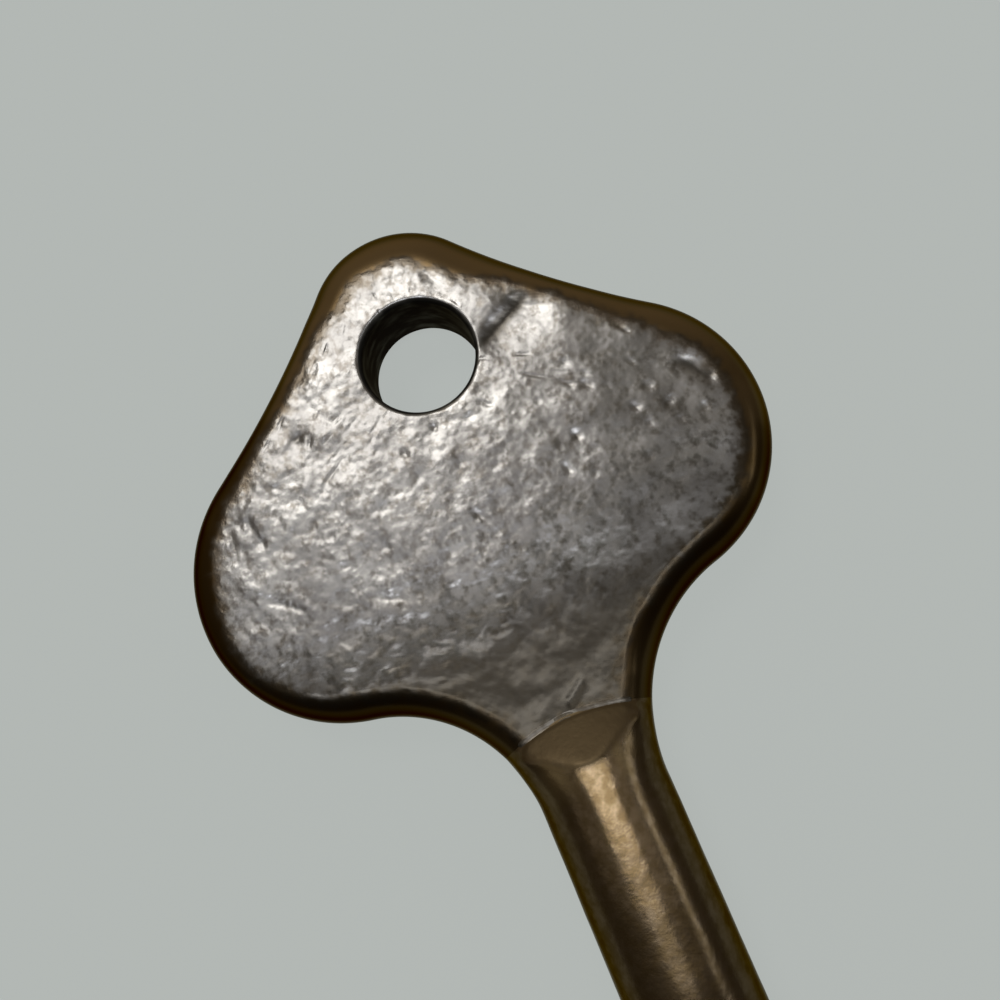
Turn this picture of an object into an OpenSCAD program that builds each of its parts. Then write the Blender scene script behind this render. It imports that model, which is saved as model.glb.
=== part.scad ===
// Bronze skeleton key, lying flat: +X runs from the bow to the tip, +Z is up.
// The origin is the middle of the ring hole, half way through the bow.

/* [Bow] */
// Thickness of the bow between its two flat faces
bow_t = 4.35; // [3.6:0.05:5.2]
// Radius of the ring hole
ring_hole_r = 2.93; // [2:0.01:3.4]
// Chamfer round both mouths of the ring hole
ring_hole_chamfer = 0.2; // [0.1:0.05:0.4]
// Radius of the end lobe, round the ring hole
end_lobe_r = 5.25; // [5:0.05:6]
// How far the end lobe's centre lies behind the ring hole
end_lobe_back = 2.4; // [1.5:0.1:3]
// Width of the rounded rim, seen from above
rim_w = 1.55; // [1:0.05:2]
// Radius of the shallow hollow between the end lobe and a side lobe
hollow_r = 50; // [35:1:80]

/* [Side lobe on the bit's side] */
// Distance of its centre from the ring hole along the key
bit_lobe_x = 8; // [7:0.05:9]
// Distance of its centre from the key's axis
bit_lobe_y = 7.65; // [7:0.05:8.5]
// Its radius
bit_lobe_r = 7.65; // [7:0.05:8.5]
// Radius of the hollow that sweeps from it into the shank
bit_neck_r = 8.65; // [7:0.05:10]

/* [Side lobe on the back] */
// Distance of its centre from the ring hole along the key
back_lobe_x = 8.15; // [7:0.05:9]
// Distance of its centre from the key's axis
back_lobe_y = 7.8; // [7:0.05:8.5]
// Its radius
back_lobe_r = 7.9; // [7:0.05:8.5]
// Radius of the hollow that sweeps from it into the shank
back_neck_r = 7.55; // [7:0.05:10]

/* [Shank] */
// Diameter of the shank
shank_d = 6.35; // [6:0.05:7]
// Distance from the ring hole to the end of the full shank
shank_end_x = 71.3; // [70:0.1:90]
// Diameter of the pilot pin at the tip
pin_d = 4.8; // [3:0.1:5.5]
// Length of the pilot pin
pin_len = 4; // [2:0.1:6]
// Chamfer on the pilot pin's end
pin_chamfer = 0.5; // [0.2:0.1:1]
// Chamfer where the full shank stops at the pin
shank_chamfer = 0.3; // [0.1:0.1:0.6]

/* [Joint between bow and shank] */
// Distance from the ring hole to the crown of the curved joint line
joint_x = 19.3; // [19:0.05:19.6]
// Radius of that curved line, seen from above
joint_r = 9.2; // [8:0.1:14]
// Thickness of the brazing metal in the joint
joint_gap = 0.25; // [0.15:0.05:0.4]
// How far the brazing metal stands proud of the flat faces
joint_proud = 0.08; // [0.04:0.01:0.15]
// Length of the ramp that rises from the joint to the top of the shank
ramp_len = 2.1; // [1.5:0.1:3]
// Diameter of the tenon that the shank pushes into the bow
tenon_d = 2.8; // [2:0.1:3]
// Depth of the tenon in the bow
tenon_len = 5; // [3:0.1:7]

/* [Bit] */
// Length of the bit along the shank
bit_len = 12.5; // [10:0.1:15]
// Height of the bit above the shank's surface
bit_h = 9.5; // [7:0.1:12]
// Thickness of the bit
bit_t = 3; // [2:0.1:3.6]
// Distance from the end of the full shank back to the bit
bit_setback = 2.8; // [1:0.1:5]
// Depth of the slot in the shank that holds the bit
bit_let_in = 1.6; // [1:0.1:2]
// Width of the ward cuts in the bit's edges
ward_w = 1.6; // [1:0.1:2]
// Depth of the ward cut on the bow's side
rear_ward_depth = 4; // [1:0.1:4]
// Depth of the ward cut on the tip's side
front_ward_depth = 3.2; // [1:0.1:3.2]
// Depth of the notch in the bit's outer edge
step_depth = 2.6; // [1:0.1:4]
// Radius of the brazed fillet along the bit's root
bit_fillet_r = 1; // [0.6:0.1:1.2]
// Thickness of the brazing metal between the bit and its slot
bit_gap = 0.12; // [0.06:0.01:0.12]

/* [Hidden] */

bronze = [0.44, 0.33, 0.19];
cast_skin = [0.52, 0.47, 0.44];
filler = [0.66, 0.58, 0.46];

shank_r = shank_d / 2;
half_t = bow_t / 2;
bit_x = shank_end_x - bit_setback - bit_len;
bit_root_y = shank_r - bit_let_in;
bit_top_y = shank_r + bit_h;

rim_steps = 6;
lobe_steps = 26;
end_steps = 14;
hollow_steps = 6;
neck_steps = 8;
joint_steps = 6;
ramp_stations = 10;
crown_flat = 0.05;
round_fn = 128;
fillet_fn = 480;
eps = 0.01;

// A side of the bow: its lobe's centre and radius, its neck's radius, and +1 or -1 for its side.
bit_side = [bit_lobe_x, bit_lobe_y, bit_lobe_r, bit_neck_r, 1];
back_side = [back_lobe_x, back_lobe_y, back_lobe_r, back_neck_r, -1];

function lerp(a, b, t) = a + (b - a) * t;
function soft(t) = t * t * (3 - 2 * t);
function angle_of(v) = atan2(v[1], v[0]);

// Centre of the circle that touches two circles from outside, on the left of the line a to b.
function touching(a, ra, b, rb) =
    let (gap = norm(b - a), along = (gap * gap + ra * ra - rb * rb) / (2 * gap), dir = (b - a) / gap)
    a + along * dir + sqrt(ra * ra - along * along) * [-dir[1], dir[0]];

// Points along an arc, from its first angle up to, and without, its last.
function arc(centre, r, from, to, steps) =
    [for (i = [0:steps - 1]) let (a = lerp(from, to, i / steps)) centre + r * [cos(a), sin(a)]];

// Centre of a side's neck hollow, which touches the lobe and runs out level with the shank's side.
function neck_centre(side) =
    let (y = shank_r + side[3], reach = side[2] + side[3])
    [side[0] + sqrt(reach * reach - (y - side[1]) * (y - side[1])), y];

// Where both necks have become the full round shank.
round_x = max(neck_centre(bit_side)[0], neck_centre(back_side)[0]);

// Half width of the neck at a distance x from the ring hole, and the joint line's sag at a width y.
function neck_half(side, x) =
    let (c = neck_centre(side), dx = max(0, c[0] - x))
    c[1] - sqrt(side[3] * side[3] - dx * dx);
function joint_sag(y) = joint_r - sqrt(joint_r * joint_r - y * y);

// Half width of the neck where a curved cross line starting at x reaches its side.
function side_half(side, x, bend, w, turns) =
    turns == 0 ? w : side_half(side, x, bend, neck_half(side, x + bend * joint_sag(w)), turns - 1);

// The neck's cross lines run from the joint, s = 0, to the round shank, s = 1, and straighten as they go.
function line_x(s) = lerp(joint_x, round_x, s);
function line_height(s) = lerp(half_t, shank_r, min(1, (line_x(s) - joint_x - joint_gap) / ramp_len));
function line_rim(s) = lerp(rim_w, shank_r - crown_flat, soft(s));

// A point of the neck's skin on one side: tilt 0 is the side and 90 is the top, proud lifts the flat.
function neck_point(side, s, tilt, proud = 0) =
    let (
        w = side_half(side, line_x(s), 1 - s, shank_r, 6),
        y = w - line_rim(s) * (1 - cos(tilt)),
        x = line_x(s) + (1 - s) * joint_sag(y),
        z = max(half_t, line_height(s)) * sin(tilt) + proud * sin(tilt) * sin(tilt)
    )
    [x, side[4] * y, z];

// Half of the bow's outline, drawn in by inset at one tilt of the rim, from the end lobe to the joint.
function half_outline(side, inset, tilt) =
    let (
        e = [-end_lobe_back, 0],
        lobe = [side[0], side[1]],
        hollow = touching(e, end_lobe_r + hollow_r, lobe, side[2] + hollow_r),
        neck = neck_centre(side),
        last_point = neck_point(side, 0, tilt),
        last = [last_point[0], abs(last_point[1])],
        to_hollow = angle_of(hollow - e),
        to_neck = angle_of(neck - lobe),
        last_r = norm(last - neck),
        neck_from = to_neck - 180,
        neck_to = angle_of(last - neck),
        pts = concat(
            arc(e, end_lobe_r - inset, 180, to_hollow, end_steps),
            arc(hollow, hollow_r + inset, to_hollow - 180, angle_of(lobe - hollow), hollow_steps),
            arc(lobe, side[2] - inset, angle_of(hollow - lobe), to_neck, lobe_steps),
            [for (i = [0:neck_steps - 1])
                let (
                    t = i / neck_steps,
                    a = lerp(neck_from, neck_to, t),
                    r = lerp(side[3] + inset, last_r, t * t)
                )
                neck + r * [cos(a), sin(a)]],
            [last]
        )
    )
    [for (p = pts) [p[0], side[4] * p[1]]];

function reversed(list) = [for (i = [len(list) - 1:-1:0]) list[i]];

// The whole outline at one tilt, anticlockwise from above, closed along the joint line.
function outline(tilt) =
    let (
        inset = rim_w * (1 - cos(tilt)),
        front = half_outline(bit_side, inset, tilt),
        back = half_outline(back_side, inset, tilt),
        top = front[len(front) - 1],
        low = back[len(back) - 1]
    )
    concat(
        [for (i = [1:len(back) - 1]) back[i]],
        [for (i = [1:joint_steps - 1])
            let (y = lerp(low[1], top[1], i / joint_steps))
            [joint_x + joint_sag(y), y]],
        reversed(front)
    );

// Closed skin over rings of equal length, the first ring below and the last above.
module rings_solid(rings) {
    n = len(rings[0]);
    points = [for (ring = rings) each ring];
    walls = [for (k = [0:len(rings) - 2]) for (i = [0:n - 1])
        let (a = k * n + i, b = k * n + (i + 1) % n)
        each [[a, a + n, b], [b, a + n, b + n]]];
    floor_face = [for (i = [0:n - 1]) i];
    roof_face = [for (i = [n - 1:-1:0]) (len(rings) - 1) * n + i];
    polyhedron(points, concat(walls, [floor_face], [roof_face]), convexity = 6);
}

// Plate of the bow with its rim rounded all the way round.
module bow_plate() {
    tilts = [for (k = [-rim_steps:rim_steps]) 90 * k / rim_steps];
    rings_solid([for (tilt = tilts) [for (p = outline(abs(tilt))) [p[0], p[1], half_t * sin(tilt)]]]);
}

// One cross ring of the neck: up the bit's side, over the top, down the back, and along the bottom.
function neck_ring(s, proud) =
    let (
        rise = [for (k = [0:rim_steps]) neck_point(bit_side, s, 90 * k / rim_steps, proud)],
        fall = [for (k = [rim_steps:-1:0]) neck_point(back_side, s, 90 * k / rim_steps, proud)],
        right = rise[rim_steps],
        left = fall[0],
        flat = [for (i = [1:joint_steps - 1])
            let (y = lerp(right[1], left[1], i / joint_steps))
            [line_x(s) + (1 - s) * joint_sag(y), y, right[2]]],
        upper = concat(rise, flat, fall)
    )
    concat(upper, [for (i = [len(upper) - 2:-1:1]) [upper[i][0], upper[i][1], -upper[i][2]]]);

// Closed skin over the neck's cross rings, whose end faces are ruled straight up and down.
module neck_solid(stations, proud) {
    rings = [for (s = stations) neck_ring(s, proud)];
    n = len(rings[0]);
    half = n / 2;
    last = (len(rings) - 1) * n;
    points = [for (ring = rings) each ring];
    walls = [for (k = [0:len(rings) - 2]) for (i = [0:n - 1])
        let (a = k * n + i, b = k * n + (i + 1) % n)
        each [[a, a + n, b], [b, a + n, b + n]]];
    near = [for (i = [0:half - 1])
        let (u = i, v = i + 1, ul = (n - i) % n, vl = n - i - 1)
        each concat(u == ul ? [] : [[u, v, ul]], v == vl ? [] : [[v, vl, ul]])];
    far = [for (f = near) [last + f[0], last + f[2], last + f[1]]];
    polyhedron(points, concat(walls, near, far), convexity = 6);
}

// A cylinder along +X, from x for a length.
module rod_x(x, length, r1, r2) {
    translate([x, 0, 0]) rotate([0, 90, 0]) cylinder(h = length, r1 = r1, r2 = r2, $fn = round_fn);
}

// Flat bow with the ring hole through it and the socket for the shank's tenon.
module bow() {
    mouth_r = ring_hole_r + ring_hole_chamfer;
    color(cast_skin) difference() {
        bow_plate();
        cylinder(h = bow_t * 2, r = ring_hole_r, center = true, $fn = round_fn);
        for (flip = [0, 1]) mirror([0, 0, flip])
            translate([0, 0, half_t - ring_hole_chamfer])
                cylinder(h = mouth_r, r1 = ring_hole_r, r2 = ring_hole_r + mouth_r, $fn = round_fn);
        rod_x(joint_x - tenon_len, tenon_len * 2, tenon_d / 2, tenon_d / 2);
    }
}

// Shank in one piece: tenon, ramped shoulder, full round, pilot pin, and the slot for the bit.
module shank() {
    first = joint_gap / (round_x - joint_x);
    full_len = shank_end_x - shank_chamfer - round_x;
    color(bronze) difference() {
        union() {
            neck_solid([for (k = [0:ramp_stations]) lerp(first, 1, k / ramp_stations)], 0);
            rod_x(joint_x - tenon_len, tenon_len + 2, tenon_d / 2, tenon_d / 2);
            rod_x(round_x, full_len, shank_r, shank_r);
            rod_x(shank_end_x - shank_chamfer, shank_chamfer, shank_r, shank_r - shank_chamfer);
            rod_x(shank_end_x - 1, pin_len - pin_chamfer + 1, pin_d / 2, pin_d / 2);
            rod_x(shank_end_x + pin_len - pin_chamfer, pin_chamfer, pin_d / 2, pin_d / 2 - pin_chamfer);
        }
        translate([bit_x, 0, 0]) rotate([90, 0, 90]) linear_extrude(bit_len) bit_slot();
    }
}

// Cross section of the slot, wider than the bit by the brazing metal on each side and below.
module bit_slot() {
    translate([bit_root_y - bit_gap, -bit_t / 2 - bit_gap]) square([shank_d, bit_t + bit_gap * 2]);
}

// Bit: a flat flag let into the shank, with its ward cuts and a notch in its outer edge.
module bit() {
    rear_ward_y = shank_r + bit_h * 0.36;
    front_ward_y = shank_r + bit_h * 0.56;
    step_x = bit_x + bit_len * 0.42;
    step_w = ward_w * 1.25;
    color(bronze) translate([0, 0, -bit_t / 2]) linear_extrude(bit_t) difference() {
        translate([bit_x, bit_root_y]) square([bit_len, bit_top_y - bit_root_y]);
        translate([bit_x - eps, rear_ward_y]) square([rear_ward_depth + eps, ward_w]);
        translate([bit_x + bit_len - front_ward_depth, front_ward_y]) square([front_ward_depth + eps, ward_w]);
        translate([step_x, bit_top_y - step_depth]) square([step_w, step_depth + eps]);
    }
}

// Brazing metal that fills the joint between bow and shank, a little proud of the flat faces.
module bow_braze() {
    first = joint_gap / (round_x - joint_x);
    color(filler) difference() {
        neck_solid([0, first], joint_proud);
        rod_x(joint_x - tenon_len, tenon_len * 2, tenon_d / 2, tenon_d / 2);
    }
}

// Brazing metal that lines the bit's slot and fills the corner along both faces with a hollow fillet.
module bit_braze() {
    cz = bit_t / 2 + bit_fillet_r;
    cy = sqrt(pow(shank_r + bit_fillet_r, 2) - cz * cz);
    touch = shank_r / (shank_r + bit_fillet_r) * [cy, cz];
    root_z = bit_t / 2 + bit_gap;
    half = [[bit_root_y - bit_gap, root_z], [shank_r * 0.7, root_z], touch, [cy, cz]];
    other_half = [for (i = [len(half) - 1:-1:0]) [half[i][0], -half[i][1]]];
    color(filler) translate([bit_x, 0, 0]) rotate([90, 0, 90]) linear_extrude(bit_len) difference() {
        polygon(concat(half, other_half));
        difference() {
            circle(r = shank_r, $fn = fillet_fn);
            bit_slot();
        }
        for (flip = [0, 1]) mirror([0, flip]) translate([cy, cz]) circle(r = bit_fillet_r, $fn = fillet_fn);
        translate([bit_root_y, -bit_t / 2]) square([shank_d, bit_t]);
    }
}

bow();
shank();
bit();
bow_braze();
bit_braze();
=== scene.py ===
# %% [markdown]
# # A bronze skeleton key
#
# The key is solid bronze: a flat cast bow with a ring hole, a round shank, and a flat bit near the tip.
# Its two finishes make it what it is. The flat of the bow keeps the lumpy skin that the metal took
# from the sand it was poured in, rubbed by pockets until it shines like pewter. Everything that
# a file or a lathe has touched is smooth and has gone brown.
#
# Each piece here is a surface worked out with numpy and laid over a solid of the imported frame.

import math

import bpy
import numpy as np
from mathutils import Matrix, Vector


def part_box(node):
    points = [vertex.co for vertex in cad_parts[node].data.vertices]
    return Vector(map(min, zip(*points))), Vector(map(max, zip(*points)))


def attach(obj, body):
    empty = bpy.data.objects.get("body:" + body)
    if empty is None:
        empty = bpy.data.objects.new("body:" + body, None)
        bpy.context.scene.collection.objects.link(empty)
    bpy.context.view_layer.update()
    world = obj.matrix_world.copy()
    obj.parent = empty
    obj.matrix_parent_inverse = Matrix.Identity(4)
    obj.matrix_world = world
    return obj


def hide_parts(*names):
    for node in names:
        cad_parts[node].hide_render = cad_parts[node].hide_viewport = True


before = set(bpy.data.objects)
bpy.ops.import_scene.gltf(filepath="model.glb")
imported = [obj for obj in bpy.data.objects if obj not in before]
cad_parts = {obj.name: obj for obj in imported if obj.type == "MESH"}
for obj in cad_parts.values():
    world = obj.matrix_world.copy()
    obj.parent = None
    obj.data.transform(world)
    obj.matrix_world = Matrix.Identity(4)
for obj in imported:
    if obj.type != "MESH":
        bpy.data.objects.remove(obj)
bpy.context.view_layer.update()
print("solids:", sorted(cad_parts))

# %% [markdown]
# ## Sizes
#
# Everything is worked out in millimetres and turned into metres once, when a mesh is made. The sizes
# that a solid's box can tell are read from the frame. The arcs of the bow's outline can't be read
# from a box, so they are given again, as the solid has them.

# %% Sizes in millimetres
MM = 0.001


def box_mm(node):
    """Lowest and highest corner of a solid, in millimetres."""
    low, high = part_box(node)
    return np.array(low) / MM, np.array(high) / MM


shank_low, shank_high = box_mm("shank")
bit_low, bit_high = box_mm("bit")
HALF_T = box_mm("bow")[1][2]
SHANK_R = shank_high[2]
TIP_X = shank_high[0]

HOLE_R = 2.93
MOUTH = 0.3
RIM_W = 1.55
END_LOBE = np.array([-2.4, 0.0])
END_LOBE_R = 5.25
HOLLOW_R = 50.0
BIT_SIDE = {"lobe": np.array([8.0, 7.65]), "lobe_r": 7.65, "neck_r": 8.65, "sign": 1}
BACK_SIDE = {"lobe": np.array([8.15, 7.8]), "lobe_r": 7.9, "neck_r": 7.55, "sign": -1}

JOINT_X = 19.3
JOINT_R = 9.2
RAMP_LEN = 2.2
PIN_R = 2.4
PIN_LEN = 4.0
PIN_CHAMFER = 0.5
PIN_FOOT = 0.15
SHANK_CHAMFER = 0.3
print(f"bow {2 * HALF_T:.2f} thick, shank {2 * SHANK_R:.2f} across, tip at {TIP_X:.2f} mm")

# %% [markdown]
# ## The camera
#
# The photograph was taken from close above the bow, with the shank running off the lower right. Its
# place was found by fitting the outline of the bow, both edges of the hole and the sides of the shank.

# %% Camera
CAMERA_AT = (16.638, 1.752, 45.649)
CAMERA_TURN = (9.244, 5.127, 66.995)
CAMERA_LENS = 32.4

camera = bpy.data.objects.new("camera", bpy.data.cameras.new("camera"))
camera.location = [c * MM for c in CAMERA_AT]
camera.rotation_euler = [math.radians(a) for a in CAMERA_TURN]
camera.data.sensor_width = 36
camera.data.lens = CAMERA_LENS
camera.data.clip_start = 0.002
camera.data.clip_end = 20
bpy.context.scene.collection.objects.link(camera)
bpy.context.scene.camera = camera

# %% [markdown]
# ## Rough metal, as a function of place
#
# A cast skin is neither regular nor pure chance: it has soft lumps of a few sizes, and small pits.
# Gradient noise gives such lumps. Each corner of a square lattice holds a random slope, and a point
# blends the heights that its four corners' slopes give it. The draws are seeded, so the same metal
# comes out each time.

# %% Noise
LATTICE = 97
HILL_GAIN = 1.5


def soft_step(t):
    """0 below 0, 1 above 1, and a smooth rise between: three t squared less two t cubed."""
    t = np.clip(t, 0, 1)
    return t * t * (3 - 2 * t)


def hills(x, y, size, seed, turn=0.0, wrap=LATTICE):
    """Soft random hills from about -1 to 1, on lattice cells of a size, with the lattice turned by an angle.

    Each corner gives the height of an even slope through it. A point takes the four heights, blended by
    6 t to the fifth less 15 t to the fourth plus 10 t cubed each way. Along y the cells repeat after wrap.
    """
    slopes = np.random.default_rng(seed).uniform(0, 2 * np.pi, (LATTICE, LATTICE))
    c, s = math.cos(turn), math.sin(turn)
    gx, gy = (c * x + s * y) / size, (c * y - s * x) / size
    ix, iy = np.floor(gx).astype(int), np.floor(gy).astype(int)
    fx, fy = gx - ix, gy - iy

    def corner(a, b):
        """Height at each point of the slope through one corner of its cell."""
        slope = slopes[(ix + a) % LATTICE, (iy + b) % wrap]
        return np.cos(slope) * (fx - a) + np.sin(slope) * (fy - b)

    ux, uy = (f * f * f * (f * (f * 6 - 15) + 10) for f in (fx, fy))
    near = corner(0, 0) * (1 - ux) + corner(1, 0) * ux
    far = corner(0, 1) * (1 - ux) + corner(1, 1) * ux
    return HILL_GAIN * (near * (1 - uy) + far * uy)


FRONT_SEED, BACK_SEED = 11, 71
SKIN_LEAN = 0.37
SKIN_DRAW = 1.25
LUMP_ROUNDING = 0.02


def lumps(x, y, size, seed):
    """Rounded lumps with creases between them: hills without their sign, rounded where they are small."""
    return np.sqrt(hills(x, y, size, seed) ** 2 + LUMP_ROUNDING)


def cast_skin(x, y, seed):
    """Height of the cast skin in mm: broad waves, lumps of three sizes drawn out one way, and small pits."""
    across = math.cos(SKIN_LEAN) * x + math.sin(SKIN_LEAN) * y
    along = (math.cos(SKIN_LEAN) * y - math.sin(SKIN_LEAN) * x) / SKIN_DRAW
    waves = 0.030 * hills(x, y, 4.3, seed, 0.4) + 0.028 * hills(x, y, 2.0, seed + 1, 1.0)
    large = 0.026 * hills(across, along, 1.05, seed + 2) + 0.012 * lumps(across, along, 0.9, seed + 3)
    small = 0.014 * lumps(across, along, 0.55, seed + 5) + 0.006 * lumps(x, y, 0.36, seed + 6)
    # Small lumps grow away from the ring hole and fade on the neck
    small *= 0.75 + 0.55 * soft_step((x - 2) / 6)
    small *= 1 - 0.6 * soft_step((x - 14) / 3)
    # Hands have calmed the bit side and the neck more than the other lobe and the middle
    calm = 0.65 * soft_step((y + 1) / 9) - 0.35 * soft_step((-y - 3) / 6) + 0.3 * soft_step((x - 14) / 3)
    calm -= 0.3 * soft_step((x - 8) / 4) * soft_step((3 - y) / 6) * soft_step((y + 12) / 6)
    # Some patches are rougher, and pits lie only in the half with the ring hole
    rougher = 1 + 0.5 * hills(x, y, 2.6, seed + 7, 0.2)
    pits = 0.045 * soft_step((hills(x, y, 0.62, seed + 4, 0.6) - 0.52) / 0.25)
    return waves + (large + small * rougher) * (1 - calm) - pits * rougher * (1 - soft_step((x - 9) / 3))


middle_line = np.linspace(4, 18, 281)
middle_skin = cast_skin(middle_line, 0 * middle_line, FRONT_SEED)
print(f"skin along the middle of the bow: {middle_skin.min():.3f} to {middle_skin.max():.3f} mm")

# %% [markdown]
# ## Marks of use on the face
#
# The photographed face has marks of its own that a general noise can't place: a groove beside the
# ring hole with a raised patch next to it, a dent near the rim of one lobe, a few pits and some nicks.
# Each is a bell-shaped dent or rise over the distance to a point or to a short line. A pit has a
# place, a radius and a depth, and a nick has the places of both its ends.

# %% Marks on the face
PITS = [
    ((6.99, 8.96), 0.15, 0.07), ((7.98, 9.2), 0.14, 0.06), ((1.52, -7.28), 0.32, 0.09),
    ((7.13, 5.7), 0.18, 0.08), ((4.53, 6.39), 0.15, 0.06), ((4.85, 7.11), 0.15, 0.06),
    ((8.35, 11.96), 0.14, 0.06), ((6.56, -4.46), 0.2, 0.05), ((1.39, -5.11), 0.17, 0.06),
    ((1.88, -4.44), 0.13, 0.04), ((12.9, -3.4), 0.22, 0.03),
]
NICKS = [
    ((4.5, -11.15), (5.92, -10.81), 0.12, 0.05), ((4.55, -12.16), (5.59, -12.24), 0.13, 0.06),
    ((8.41, -11.74), (9.68, -10.1), 0.13, 0.04), ((10.4, -6.8), (11.2, -5.2), 0.14, 0.03),
    ((18.18, 1.03), (18.74, 0.22), 0.2, 0.05), ((-4.05, 2.02), (-2.36, 2.56), 0.34, 0.035),
    ((5.9, 12.05), (6.95, 12.95), 0.42, 0.09),
]
RISES = [
    ((7.3, 13.15), 0.22, 0.05), ((-0.9, 4.3), 0.6, 0.04), ((-0.5, -4.6), 1.6, 0.03),
    ((4.6, -11.0), 1.2, 0.03),
]
GROOVE = {"start": (0.9, 3.2), "end": (-0.95, 6.5), "wall": 0.62, "slope": 2.1, "depth": 0.17}
GROOVE_WANDER = 0.14
GROOVE_SOFT = 0.15
GROOVE_CALMS = {"middle": 0.3, "reach": 1.1}
# The groove is painted darker over this spread from its middle: painted shade
GROOVE_SHADE_SPREAD = {"middle": -0.05, "reach": 0.5}
FULL_DARK_AT = 0.14
WALL_ROUNDING = 0.03


def bell(distance, middle, reach):
    """1 at the middle, falling off as e to minus the square of the distance from it over the reach."""
    return np.exp(-(((distance - middle) / reach) ** 2))


def line_distance(x, y, start, end):
    """Distance from each point to the nearest point of a short line."""
    along = np.subtract(end, start)
    t = ((x - start[0]) * along[0] + (y - start[1]) * along[1]) / (along @ along)
    t = np.clip(t, 0, 1)
    return np.hypot(x - start[0] - t * along[0], y - start[1] - t * along[1])


def rounded(v):
    """v where it is large, 0 where it is far below 0, with a short rounding between."""
    return (v + np.sqrt(v * v + WALL_ROUNDING)) / 2


def groove(x, y):
    """Height of the groove, where a steep wall meets a long slope; how near it a point is, and how much
    painted shade the groove gives it.
    """
    along = np.subtract(GROOVE["end"], GROOVE["start"])
    length = math.hypot(*along)
    dx, dy = x - GROOVE["start"][0], y - GROOVE["start"][1]
    t = (dx * along[0] + dy * along[1]) / length**2
    away = (dx * along[1] - dy * along[0]) / length + GROOVE_WANDER * hills(x, y, 0.9, 61)
    wall, slope = rounded(1 + away / GROOVE["wall"]), rounded(1 - away / GROOVE["slope"])
    ends = soft_step((t + 0.25) / 0.5) * soft_step((1.25 - t) / 0.5)
    height = -GROOVE["depth"] * ends * (wall + slope - np.hypot(wall - slope, GROOVE_SOFT)) / 2
    return height, ends * bell(away, **GROOVE_CALMS), ends * bell(away, **GROOVE_SHADE_SPREAD)


def front_skin(x, y):
    """Cast skin with its marks, and how much darker it is painted, with painted shade in the groove and
    darker pits and nicks: each mark is a bell over the distance to its place.
    """
    height, in_groove, soiled = groove(x, y)
    height += cast_skin(x, y, FRONT_SEED) * (1 - 0.7 * in_groove)
    marks = [(np.hypot(x - at[0], y - at[1]), radius, deep) for at, radius, deep in PITS]
    marks += [(line_distance(x, y, start, end), radius, deep) for start, end, radius, deep in NICKS]
    for distance, radius, deep in marks:
        mark = bell(distance, 0, radius)
        height -= deep * mark
        # Pits and nicks are painted darker by their depth
        soiled += mark * deep / FULL_DARK_AT
    for at, radius, rise in RISES:
        height += rise * bell(np.hypot(x - at[0], y - at[1]), 0, radius)
    return height, np.clip(soiled, 0, 1)


print(f"marks: a groove, {len(PITS)} pits, {len(NICKS)} nicks and {len(RISES)} rises")

# %% [markdown]
# ## From points to a piece
#
# Every piece is a stack of rings or a grid of points. One helper turns grids of point numbers into
# four-sided faces, and another makes the object, with its place in its mesh and with sharp edges
# only where two faces really meet at an angle.

# %% Mesh helpers
def quads(first, second):
    """Faces between two rows of point numbers, closed round, with their fronts on the right of first."""
    return np.stack([first, second, np.roll(second, -1, -1), np.roll(first, -1, -1)], -1).reshape(-1, 4)


def volume(points, faces):
    """Volume inside the faces, in cubic mm: the sum of tetrahedra from the origin, each with its sign."""
    total = 0
    for f in faces:
        p = points[f]
        for k in range(1, f.shape[1] - 1):
            total += np.einsum("ij,ij->", p[:, 0], np.cross(p[:, k], p[:, k + 1])) / 6
    return total


def facing_out(points, faces):
    """The faces turned over if they enclose a negative volume, so that their fronts are outside."""
    faces = [np.atleast_2d(f) for f in faces]
    return faces if volume(points, faces) > 0 else [f[:, ::-1] for f in faces]


def stack_rings(rings, ends=True):
    """Points and faces of rings laid one after another: closed by flat ends, or joined last to first."""
    count = len(rings)
    ids = np.arange(count * len(rings[0])).reshape(count, -1)
    faces = [quads(ids[:-1], ids[1:])] + ([ids[0], ids[-1][::-1]] if ends else [quads(ids[-1:], ids[:1])])
    points = np.concatenate(rings)
    return points, facing_out(points, faces)


def make_piece(name, points, faces, crease=48, **values):
    """Makes a closed mesh object from points in mm and a list of faces; values become point attributes."""
    used = np.unique(np.concatenate([f.ravel() for f in faces]))
    number = np.zeros(len(points), int)
    number[used] = np.arange(len(used))
    mesh = bpy.data.meshes.new(name)
    mesh.from_pydata((points[used] * MM).tolist(), [], [row for f in faces for row in number[f].tolist()])
    for key, value in values.items():
        mesh.attributes.new(key, "FLOAT", "POINT").data.foreach_set("value", value[used].astype(np.float32))
    mesh.shade_smooth()
    mesh.set_sharp_from_angle(angle=math.radians(crease))
    piece = bpy.data.objects.new(name, mesh)
    bpy.context.scene.collection.objects.link(piece)
    mesh.calc_loop_triangles()
    size = volume(points, faces)
    print(f"{name}: {len(used)} points, {len(mesh.loop_triangles)} triangles, {size:.1f} cubic mm")
    return piece


# %% [markdown]
# ## The outline of the bow
#
# The outline is six arcs on each side that run into each other without a corner: the end lobe, a
# shallow hollow, the side lobe, and the neck that sweeps into the shank. Drawing it in by a distance
# keeps the centres and only changes the radii, so the same function gives the outline at any height
# of the rounded rim.

# %% Outline of the bow
CORNER = 145
SIDE_STEPS = (22, 46, 74, 42)
ACROSS = 188
ALONG = sum(SIDE_STEPS)


def bearing(v):
    """Angle of a direction, in degrees."""
    return math.degrees(math.atan2(v[1], v[0]))


def arc(centre, radius, start, end, steps):
    """Points on a circle at equal angles from start up to, and without, end."""
    a = np.radians(np.linspace(start, end, steps, endpoint=False))
    return np.array(centre) + radius * np.stack([np.cos(a), np.sin(a)], -1)


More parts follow.
